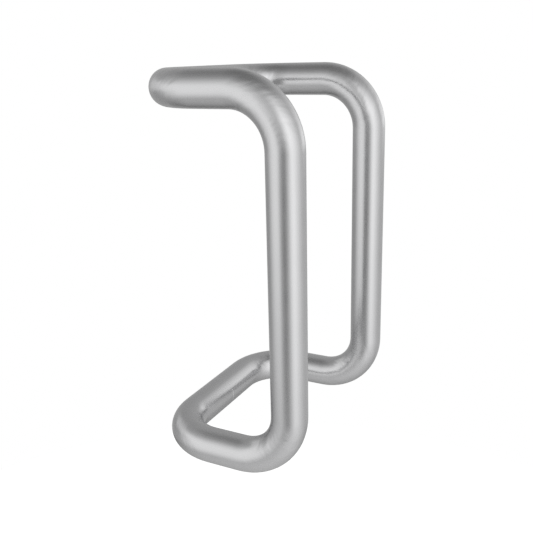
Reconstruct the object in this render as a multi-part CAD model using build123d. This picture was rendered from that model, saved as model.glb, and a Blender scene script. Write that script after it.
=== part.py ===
"""Back-to-back pair of offset door pull bars, closed up post to post.

Each pull is one length of solid round bar, bent four times: out from the door, sideways to
clear the door's edge, down along the grip, and back again. Two threaded studs and two set
screws inside the posts hold the pair together. Millimetres, +Z up along the grips, +X from
the posts to the grips, -Y towards the front pull. The origin lies on the plane where the
posts meet, half way between the upper and the lower post.
"""
import os

from build123d import *

# Bar: four bends, with the straights that lie between them
bar_diameter = 25.4         # 1 in
fixing_centres = 254.0      # upper post axis to lower post axis, 10 in
post_straight = 38.1        # from the door face to the start of the first bend
post_bend_radius = 38.1     # centreline radius, post into arm
arm_straight = 25.4         # between the two bends of an arm
grip_bend_radius = 38.1     # centreline radius, arm into grip
post_edge_chamfer = 0.2     # broken edge round a post's end face

# Studs: one in each post, screwed into the front bar, held by a set screw in the rear bar
stud_diameter = 9.525       # 3/8 in, over the thread
stud_end_chamfer = 1.0
stud_front_reach = 19.05    # length screwed into the front bar
stud_rear_reach = 31.75     # length inside the rear bar
stud_hole_clearance = 0.05  # all round the stud
hole_end_space = 3.2        # left beyond each end of a stud
drill_point_angle = 118.0   # included angle at the bottom of a drilled hole

# Set screws: cone point, hexagon socket, one under each rear post
screw_diameter = 6.35       # 1/4 in, over the thread
screw_length = 7.9375       # 5/16 in, with its point
screw_setback = 12.7        # from the post's end face to the screw's axis
screw_tip_diameter = 0.8    # flat at the end of the cone
screw_groove_depth = 1.2    # V groove round the stud, which the cone seats in
screw_seat_clearance = 0.05
screw_hole_clearance = 0.05
socket_across_flats = 3.175  # 1/8 in key
socket_depth = 3.2
screw_edge_chamfer = 0.4

bar_radius = bar_diameter / 2
stud_radius = stud_diameter / 2
screw_radius = screw_diameter / 2
projection = post_straight + post_bend_radius
offset = post_bend_radius + arm_straight + grip_bend_radius
post_height = fixing_centres / 2
stud_hole_radius = stud_radius + stud_hole_clearance
FRONT, REAR = -1, 1


def on_post(side, level):
    """Plane whose Z axis runs into a post from its end face; side is FRONT or REAR."""
    return Plane(origin=(0, 0, level * post_height), x_dir=(1, 0, 0), z_dir=(0, side, 0))


def centreline(side):
    """The bent bar's axis, from the upper post's end face round to the lower one's."""
    reach = side * projection
    return FilletPolyline(
        (0, 0, post_height),
        (0, reach, post_height),
        (offset, reach, post_height),
        (offset, reach, -post_height),
        (0, reach, -post_height),
        (0, 0, -post_height),
        radius=[post_bend_radius, grip_bend_radius, grip_bend_radius, post_bend_radius],
    )


def bent_bar(side):
    """One pull as it leaves the bender, with the edge of each end face broken."""
    section = on_post(side, level=1) * Circle(bar_radius)
    bar = sweep(section, path=centreline(side))
    end_edges = bar.edges().filter_by(GeomType.CIRCLE).filter_by_position(Axis.Y, -0.01, 0.01)
    return chamfer(end_edges, post_edge_chamfer)


def stud_hole(side, level, reach):
    """Drilled hole for a stud, with the drill's point at its bottom."""
    depth = reach + hole_end_space
    point_height = stud_hole_radius / tan_of_half(drill_point_angle)
    profile = make_face(
        Polyline(
            (0, 0),
            (stud_hole_radius, 0),
            (stud_hole_radius, depth),
            (0, depth + point_height),
            close=True,
        )
    )
    return on_post(side, level) * revolve_up(profile)


def screw_hole(level):
    """Round hole from the underside of a rear post in to its stud hole."""
    hole = Cylinder(
        screw_radius + screw_hole_clearance,
        bar_diameter,
        align=(Align.CENTER, Align.CENTER, Align.MAX),
    )
    return Pos(0, screw_setback, level * post_height) * hole


def stud(level):
    """Stud with chamfered ends and a V groove for the point of the set screw."""
    groove_floor = stud_radius - screw_groove_depth
    groove_half_floor = screw_tip_diameter / 2
    groove_half_mouth = groove_half_floor + screw_groove_depth
    profile = make_face(
        Polyline(
            (0, -stud_front_reach),
            (stud_radius - stud_end_chamfer, -stud_front_reach),
            (stud_radius, stud_end_chamfer - stud_front_reach),
            (stud_radius, screw_setback - groove_half_mouth),
            (groove_floor, screw_setback - groove_half_floor),
            (groove_floor, screw_setback + groove_half_floor),
            (stud_radius, screw_setback + groove_half_mouth),
            (stud_radius, stud_rear_reach - stud_end_chamfer),
            (stud_radius - stud_end_chamfer, stud_rear_reach),
            (0, stud_rear_reach),
            close=True,
        )
    )
    return on_post(REAR, level) * revolve_up(profile)


def set_screw(level):
    """Socket set screw with its cone point up in the stud's groove."""
    tip_radius = screw_tip_diameter / 2
    cone_height = screw_radius - tip_radius
    profile = make_face(
        Polyline(
            (0, 0),
            (tip_radius, 0),
            (screw_radius, cone_height),
            (screw_radius, screw_length - screw_edge_chamfer),
            (screw_radius - screw_edge_chamfer, screw_length),
            (0, screw_length),
            close=True,
        )
    )
    socket = extrude(RegularPolygon(socket_across_flats / 2, 6, major_radius=False), socket_depth)
    screw = revolve_up(profile) - Pos(0, 0, screw_length - socket_depth) * socket
    tip_drop = stud_radius - screw_groove_depth + screw_seat_clearance
    seat = Pos(0, screw_setback, level * post_height - tip_drop)
    return seat * Rot(180, 0, 0) * screw


def revolve_up(profile):
    """Turn a profile drawn as (radius, height) about the Z axis."""
    return revolve(Plane.XZ * profile, Axis.Z)


def tan_of_half(angle):
    """Tangent of half an angle given in degrees."""
    half = Vector(0, 1).rotate(Axis.Z, -angle / 2)
    return half.X / half.Y


def front_pull_bar():
    """Front bar: both posts tapped for a stud."""
    return bent_bar(FRONT) - [stud_hole(FRONT, level, stud_front_reach) for level in (1, -1)]


def rear_pull_bar():
    """Rear bar: both posts bored for a stud, with a set screw hole underneath."""
    bores = [stud_hole(REAR, level, stud_rear_reach) for level in (1, -1)]
    return bent_bar(REAR) - bores - [screw_hole(level) for level in (1, -1)]


nodes = {
    "front_pull_bar": front_pull_bar(),
    "rear_pull_bar": rear_pull_bar(),
    "upper_stud": stud(level=1),
    "lower_stud": stud(level=-1),
    "upper_set_screw": set_screw(level=1),
    "lower_set_screw": set_screw(level=-1),
}

os.makedirs("parts", exist_ok=True)
for name, solid in nodes.items():
    export_step(solid, f"parts/{name}.step")
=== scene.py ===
"""Looks of the back-to-back door pull bars: satin steel in a soft white studio."""
import math

import bmesh
import bpy
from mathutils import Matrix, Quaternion, Vector


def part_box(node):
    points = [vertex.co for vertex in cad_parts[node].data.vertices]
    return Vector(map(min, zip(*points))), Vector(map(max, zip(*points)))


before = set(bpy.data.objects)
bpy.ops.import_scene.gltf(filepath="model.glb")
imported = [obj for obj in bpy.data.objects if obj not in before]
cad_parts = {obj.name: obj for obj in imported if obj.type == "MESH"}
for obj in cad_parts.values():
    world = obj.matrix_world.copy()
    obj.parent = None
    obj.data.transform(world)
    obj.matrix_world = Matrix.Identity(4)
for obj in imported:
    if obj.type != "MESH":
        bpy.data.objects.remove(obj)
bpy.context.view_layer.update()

# Camera: the photograph's viewing angle, with its image taken as 533 pixels wide
IMAGE_PIXELS = 533
FOCAL_PIXELS = 708.35
SENSOR_MM = 36.0
CAMERA_TARGET = Vector((0.047, 0.0, -0.0105))
CAMERA_DISTANCE = 0.5474
CAMERA_AZIMUTH = 27.55      # degrees from -Y towards +X
CAMERA_ELEVATION = 16.58
CAMERA_ROLL = 1.44          # clockwise turn of the camera

# Light dome round the pull: levels, where 1 is white, and directions from the pull's middle
# in degrees (azimuth from -Y towards +X, elevation from the horizon)
DOME_RADIUS = 1.0
DOME_SEGMENTS = 64          # round it
DOME_RINGS = 32             # from bottom to top
WHITE_IN_METAL = 0.2        # share of the white background that the satin metal shows
WALL_LEVEL = 0.64
WALL_RIGHT_LIFT = 0.24      # the walls are lighter by this towards +X and darker towards -X
WALL_BACK_DROP = 0.08       # and darker by this towards +Y
CEILING_DROP = 0.49
CEILING_EDGE = (60, 42)     # middle and width of the soft edge between walls and ceiling
PANELS = {                  # middle and width of each soft edge
    "right soft box": {
        "level": 1.59, "left": (38, 42), "right": (80, 96), "bottom": (-39, 60), "top": (47, 49)},
    "left soft box": {
        "level": 1.04, "left": (-65, 56), "right": (4, 60), "bottom": (-29, 50), "top": (36, 41)},
    "left box's wing": {
        "level": 0.60, "left": (-112, 24), "right": (-55, 50), "bottom": (2, 12), "top": (26, 14)},
    "dark gap between them": {
        "level": -0.80, "left": (-5, 25), "right": (54, 36), "bottom": (-33, 50), "top": (7, 26)},
    "strip at the back": {
        "level": 1.05, "left": (127, 15), "right": (170, 18), "bottom": (1, 10), "top": (25, 60)},
}

# Floor under the pull
FLOOR_DROP = 0.6            # the pull's middle hangs this far above the floor
FLOOR_RADIUS = 0.8          # the floor meets the dome
FLOOR_SIDES = 96
FLOOR_COLOUR = (0.2, 0.2, 0.2, 1)
FLOOR_GLOW = 0.95           # makes the floor white to the eye
FLOOR_GLOW_IN_METAL = 0.82
FLOOR_RIGHT_LIFT = 0.46     # per metre, for the light that the metal shows
FLOOR_BACK_DROP = 0.53      # darker by this behind FLOOR_BACK_EDGE
FLOOR_BACK_EDGE = (0.12, 1.0)  # middle and width of that soft edge, in metres

# Bar
BEND_RADIUS = 0.0381        # centreline radius of every bend, as built
FACET_MATCH = 0.98          # least cosine between the normals of the bar and of a facet on it

# Satin steel: scales of noise in waves per millimetre, depths in metres
STEEL_COLOUR = (0.45, 0.45, 0.455)
STEEL_ROUGHNESS = 0.27
FINE_GRAIN = (4.0, 4.0, 0.08)  # across the bar both ways, then along it
BROAD_GRAIN = (0.8, 0.8, 0.02)
FINE_SHARE = 0.6            # share of the fine grain in the whole grain
FINE_DETAIL = 3.0           # octaves of noise in fine patterns
GRAIN_IN_TONE = 0.12
GRAIN_IN_ROUGHNESS = 0.10
GRAIN_DEPTH = 0.00002
GRAIN_STRENGTH = 0.25
CLOUD_SCALE = 0.06          # slow changes in the finish
CLOUD_IN_TONE = 0.06
CLOUD_IN_ROUGHNESS = 0.06
WAVE_SCALE = 0.06           # slight waves in the bends, left by bending and hand finishing
WAVE_DEPTH = 0.0007         # from trough to crest at most
WAVE_EDGE = 0.012           # the waves come in over this length from a bend's ends
WAVES_APART = (0.0, 140.0, 310.0)  # gives each bar and each level waves of its own

# Studs and set screws
ZINC_COLOUR = (0.56, 0.57, 0.58)
OXIDE_COLOUR = (0.035, 0.035, 0.038)
MOTTLE_SCALE = 900.0        # waves per metre
MOTTLE_AMOUNT = 0.2         # change in tone and in roughness
MOTTLE_DEPTH = 0.00003
MOTTLE_STRENGTH = 0.2

MM_PER_METRE = 1000.0


class Graph:
    """A new material, with shorthand for adding nodes and links to it."""

    def __init__(self, name):
        self.material = bpy.data.materials.new(name)
        self.material.use_nodes = True
        self.tree = self.material.node_tree
        self.tree.nodes.clear()

    def put(self, socket, value):
        """Set a socket to a constant, or link another socket to it."""
        if isinstance(value, bpy.types.NodeSocket):
            self.tree.links.new(value, socket)
        else:
            socket.default_value = value

    def node(self, kind, *values, **settings):
        """Add a node with these settings, and put the values into its first inputs."""
        made = self.tree.nodes.new(kind)
        for name, setting in settings.items():
            setattr(made, name, setting)
        for socket, value in zip(made.inputs, values):
            self.put(socket, value)
        return made

    def position(self):
        """Place in metres, in the object's own frame."""
        return self.node("ShaderNodeTexCoord").outputs["Object"]

    def math(self, operation, *values):
        return self.node("ShaderNodeMath", *values, operation=operation).outputs[0]

    def vector(self, operation, *values):
        made = self.node("ShaderNodeVectorMath", *values, operation=operation)
        is_number = operation in ("LENGTH", "DOT_PRODUCT")
        return made.outputs["Value" if is_number else "Vector"]

    def scaled(self, vector, factor):
        made = self.node("ShaderNodeVectorMath", vector, operation="SCALE")
        self.put(made.inputs["Scale"], factor)
        return made.outputs["Vector"]

    def combine(self, x, y, z):
        return self.node("ShaderNodeCombineXYZ", x, y, z).outputs[0]

    def parts(self, vector):
        """The X, Y and Z outputs of a vector."""
        return self.node("ShaderNodeSeparateXYZ", vector).outputs

    def rise(self, value, middle, width):
        """0 to 1, smoothly, as value passes middle over the given width."""
        start, end = middle - width / 2, middle + width / 2
        made = self.node(
            "ShaderNodeMapRange", value, start, end, 0.0, 1.0, interpolation_type="SMOOTHSTEP")
        return made.outputs[0]

    def mix(self, kind, factor, first, second):
        """From first to second as the factor goes from 0 to 1; kind is Float or Vector."""
        made = self.node("ShaderNodeMix", factor, data_type=kind.upper())
        inputs = {socket.identifier: socket for socket in made.inputs}
        outputs = {socket.identifier: socket for socket in made.outputs}
        self.put(inputs["A_" + kind], first)
        self.put(inputs["B_" + kind], second)
        return outputs["Result_" + kind]

    def noise(self, vector, scale=1.0, detail=2.0):
        """Noise between 0 and 1."""
        made = self.node("ShaderNodeTexNoise")
        self.put(made.inputs["Vector"], vector)
        made.inputs["Scale"].default_value = scale
        made.inputs["Detail"].default_value = detail
        return made.outputs["Fac"]

    def varied(self, value, noise, amount):
        """The value, moved by up to half the amount either way as the noise has it."""
        return self.math("MULTIPLY_ADD", self.math("SUBTRACT", noise, 0.5), amount, value)

    def bump(self, height, depth, strength=1.0, normal=None):
        """A normal tilted by the height, of which 1 stands for the depth in metres."""
        made = self.node("ShaderNodeBump")
        made.inputs["Strength"].default_value = strength
        made.inputs["Distance"].default_value = depth
        self.put(made.inputs["Height"], height)
        if normal is not None:
            self.put(made.inputs["Normal"], normal)
        return made.outputs[0]

    def surface(self, shader):
        """Make this shader node the material's surface."""
        output = self.node("ShaderNodeOutputMaterial")
        self.put(output.inputs["Surface"], shader.outputs[0])


def make_camera():
    """Camera that sees the pull as the photograph does."""
    azimuth = math.radians(CAMERA_AZIMUTH)
    elevation = math.radians(CAMERA_ELEVATION)
    towards_camera = Vector((
        math.sin(azimuth) * math.cos(elevation),
        -math.cos(azimuth) * math.cos(elevation),
        math.sin(elevation),
    ))
    data = bpy.data.cameras.new("camera")
    data.sensor_width = SENSOR_MM
    data.lens = FOCAL_PIXELS / IMAGE_PIXELS * SENSOR_MM
    camera = bpy.data.objects.new("camera", data)
    camera.location = CAMERA_TARGET + towards_camera * CAMERA_DISTANCE
    level = (-towards_camera).to_track_quat("-Z", "Y")
    camera.rotation_mode = "QUATERNION"
    camera.rotation_quaternion = level @ Quaternion((0, 0, 1), -math.radians(CAMERA_ROLL))
    bpy.context.scene.collection.objects.link(camera)
    bpy.context.scene.camera = camera


def soft_panel(graph, azimuth, elevation, panel):
    """A soft-edged patch of light, 0 to 1, between its four edges in degrees."""
    across = graph.math(
        "SUBTRACT", graph.rise(azimuth, *panel["left"]), graph.rise(azimuth, *panel["right"]))
    upward = graph.math(
        "SUBTRACT", graph.rise(elevation, *panel["bottom"]), graph.rise(elevation, *panel["top"]))
    return graph.math("MULTIPLY", graph.math("MAXIMUM", across, 0.0), upward)


def split_by_ray(graph, to_the_eye, in_metal):
    """One value for the eye, directly or through glass, and another for what metal mirrors."""
    path = graph.node("ShaderNodeLightPath").outputs
    clear = graph.math("MAXIMUM", path["Is Camera Ray"], path["Is Transmission Ray"])
    return graph.math(
        "MAXIMUM",
        graph.math("MULTIPLY", clear, to_the_eye),
        graph.math("MULTIPLY", path["Is Glossy Ray"], in_metal))


def make_dome():
    """White to the eye. To the metal: walls lighter to the right, a dim ceiling and soft boxes."""
    shape = bmesh.new()
    bmesh.ops.create_uvsphere(
        shape, u_segments=DOME_SEGMENTS, v_segments=DOME_RINGS, radius=DOME_RADIUS)
    mesh = bpy.data.meshes.new("dome")
    shape.to_mesh(mesh)
    shape.free()
    dome = bpy.data.objects.new("dome", mesh)
    bpy.context.scene.collection.objects.link(dome)

    graph = Graph("studio_light")
    graph.material.cycles.emission_sampling = "NONE"
    x, y, z = graph.parts(graph.vector("NORMALIZE", graph.position()))
    azimuth = graph.math("DEGREES", graph.math("ARCTAN2", x, graph.math("MULTIPLY", y, -1.0)))
    elevation = graph.math("DEGREES", graph.math("ARCSINE", z))

    level = graph.math("MULTIPLY_ADD", x, WALL_RIGHT_LIFT, WALL_LEVEL)
    level = graph.math("MULTIPLY_ADD", y, -WALL_BACK_DROP, level)
    level = graph.math("MULTIPLY_ADD", graph.rise(elevation, *CEILING_EDGE), -CEILING_DROP, level)
    for panel in PANELS.values():
        shade = soft_panel(graph, azimuth, elevation, panel)
        level = graph.math("MULTIPLY_ADD", shade, panel["level"], level)

    white_share = split_by_ray(graph, 1.0, WHITE_IN_METAL)
    glow = graph.node("ShaderNodeEmission")
    graph.put(glow.inputs["Strength"], graph.mix("Float", white_share, level, 1.0))
    graph.surface(glow)
    dome.data.materials.append(graph.material)


def make_floor():
    """Pale round table top below the pull, lighter to the right like the walls."""
    turns = [math.tau * i / FLOOR_SIDES for i in range(FLOOR_SIDES)]
    rim = [(FLOOR_RADIUS * math.cos(turn), FLOOR_RADIUS * math.sin(turn), 0) for turn in turns]
    mesh = bpy.data.meshes.new("floor")
    mesh.from_pydata(rim, [], [tuple(range(FLOOR_SIDES))])
    floor = bpy.data.objects.new("floor", mesh)
    floor.location.z = -FLOOR_DROP
    bpy.context.scene.collection.objects.link(floor)

    graph = Graph("pale_floor")
    matt = graph.node("ShaderNodeBsdfDiffuse")
    matt.inputs["Color"].default_value = FLOOR_COLOUR
    x, y, _ = graph.parts(graph.position())
    mirrored = graph.math("MULTIPLY_ADD", x, FLOOR_RIGHT_LIFT, FLOOR_GLOW_IN_METAL)
    mirrored = graph.math(
        "MULTIPLY_ADD", graph.rise(y, *FLOOR_BACK_EDGE), -FLOOR_BACK_DROP, mirrored)
    glow = graph.node("ShaderNodeEmission")
    graph.put(glow.inputs["Strength"], split_by_ray(graph, FLOOR_GLOW, mirrored))
    graph.surface(graph.node("ShaderNodeAddShader", matt.outputs[0], glow.outputs[0]))
    floor.data.materials.append(graph.material)


def bar_coordinates(graph):
    """Place on the bar in millimetres, its true normal, and how far it lies in a bend, 0 to 1.

    The place is two offsets from the bar's axis and a length along it. Both bends are rounded
    corners: one of the path seen from above, one of it seen from the side. Each offset is the
    distance to that rounded path, and the normal is the way in which they grow.
    """
    low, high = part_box("front_pull_bar")
    bar_radius = -low.x
    offset = high.x - bar_radius
    projection = -low.y - bar_radius
    post_height = high.z - bar_radius
    position = graph.position()
    across, _, _ = graph.parts(position)
    _, depth, height = graph.parts(graph.vector("ABSOLUTE", position))
    _, front_or_rear, up_or_down = graph.parts(graph.vector("SIGN", position))

    def rounded_corner(u, v):
        """Distance from a rounded corner, how far in its bend, and the distance's two parts.

        u and v start at the bend's centre, each square to one of the corner's two straights,
        and the parts lie along them.
        """
        reach = graph.combine(graph.math("MAXIMUM", u, 0.0), graph.math("MAXIMUM", v, 0.0), 0.0)
        distance = graph.math("SUBTRACT", graph.vector("LENGTH", reach), BEND_RADIUS)
        u_way, v_way, _ = graph.parts(graph.vector("NORMALIZE", reach))
        inside = graph.rise(graph.math("MINIMUM", u, v), WAVE_EDGE / 2, WAVE_EDGE)
        grown = graph.math("MULTIPLY", distance, u_way), graph.math("MULTIPLY", distance, v_way)
        return distance, inside, grown

    plan, in_plan_bend, (plan_inward, plan_outward) = rounded_corner(
        graph.math("SUBTRACT", BEND_RADIUS, across),
        graph.math("SUBTRACT", depth, projection - BEND_RADIUS))
    side, in_side_bend, (side_outward, side_upward) = rounded_corner(
        graph.math("SUBTRACT", across, offset - BEND_RADIUS),
        graph.math("SUBTRACT", height, post_height - BEND_RADIUS))
    along = graph.math("SUBTRACT", graph.math("ADD", depth, across), height)
    place = graph.scaled(graph.combine(plan, side, along), MM_PER_METRE)
    normal = graph.combine(
        graph.math("SUBTRACT", side_outward, plan_inward),
        graph.math("MULTIPLY", plan_outward, front_or_rear),
        graph.math("MULTIPLY", side_upward, up_or_down))
    return place, normal, graph.math("MAXIMUM", in_plan_bend, in_side_bend)


def true_normal(graph, normal):
    """The bar's own normal where the facets lie on it, and theirs in holes and on edges."""
    turned = graph.node(
        "ShaderNodeVectorTransform", normal,
        vector_type="NORMAL", convert_from="OBJECT", convert_to="WORLD")
    bar_normal = graph.vector("NORMALIZE", turned.outputs[0])
    facet_normal = graph.node("ShaderNodeNewGeometry").outputs["Normal"]
    agreement = graph.vector("DOT_PRODUCT", bar_normal, facet_normal)
    on_the_bar = graph.math("GREATER_THAN", agreement, FACET_MATCH)
    return graph.mix("Vector", on_the_bar, facet_normal, bar_normal)


def metal(graph, colour, metallic, tone, roughness, normal):
    """Finish a graph as metal whose colour is scaled by the tone, and return its material."""
    shader = graph.node("ShaderNodeBsdfPrincipled")
    shader.inputs["Metallic"].default_value = metallic
    graph.put(shader.inputs["Base Color"], graph.scaled(colour, tone))
    graph.put(shader.inputs["Roughness"], roughness)
    graph.put(shader.inputs["Normal"], normal)
    graph.surface(shader)
    return graph.material


def satin_steel(name):
    """Satin steel whose fine grain runs along the bar and round its bends."""
    graph = Graph(name)
    place, bar_normal, in_bend = bar_coordinates(graph)
    fine = graph.noise(graph.vector("MULTIPLY", place, FINE_GRAIN), detail=FINE_DETAIL)
    broad = graph.noise(graph.vector("MULTIPLY", place, BROAD_GRAIN))
    grain = graph.math(
        "MULTIPLY_ADD", fine, FINE_SHARE, graph.math("MULTIPLY", broad, 1 - FINE_SHARE))
    cloud = graph.noise(place, CLOUD_SCALE)
    tone = graph.varied(graph.varied(1.0, grain, GRAIN_IN_TONE), cloud, CLOUD_IN_TONE)
    roughness = graph.varied(STEEL_ROUGHNESS, grain, GRAIN_IN_ROUGHNESS)
    roughness = graph.varied(roughness, cloud, CLOUD_IN_ROUGHNESS)

    own_part = graph.vector("MULTIPLY", graph.vector("SIGN", graph.position()), WAVES_APART)
    waves = graph.noise(graph.vector("ADD", place, own_part), WAVE_SCALE)
    waves_in_bends = graph.varied(0.0, waves, in_bend)
    uneven = graph.bump(waves_in_bends, WAVE_DEPTH, normal=true_normal(graph, bar_normal))
    grained = graph.bump(grain, GRAIN_DEPTH, GRAIN_STRENGTH, uneven)
    return metal(graph, STEEL_COLOUR, 1.0, tone, roughness, grained)


def fastener_metal(name, colour, metallic, roughness):
    """Turned hardware: plated or blackened, with a faint mottle."""
    graph = Graph(name)
    mottle = graph.noise(graph.position(), MOTTLE_SCALE, FINE_DETAIL)
    tone = graph.varied(1.0, mottle, MOTTLE_AMOUNT)
    mottled_roughness = graph.varied(roughness, mottle, MOTTLE_AMOUNT)
    mottled_normal = graph.bump(mottle, MOTTLE_DEPTH, MOTTLE_STRENGTH)
    return metal(graph, colour, metallic, tone, mottled_roughness, mottled_normal)


def dress(nodes, material):
    """Give CAD nodes a material in place of the plain one."""
    for name in nodes:
        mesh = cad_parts[name].data
        mesh.materials.clear()
        mesh.materials.append(material)


make_camera()
make_dome()
make_floor()
satin = satin_steel("satin_bar")
zinc = fastener_metal("zinc_stud", ZINC_COLOUR, metallic=1.0, roughness=0.3)
black_oxide = fastener_metal("black_screw", OXIDE_COLOUR, metallic=0.6, roughness=0.45)
dress(["front_pull_bar", "rear_pull_bar"], satin)
dress(["upper_stud", "lower_stud"], zinc)
dress(["upper_set_screw", "lower_set_screw"], black_oxide)
bpy.context.scene.view_settings.view_transform = "Standard"
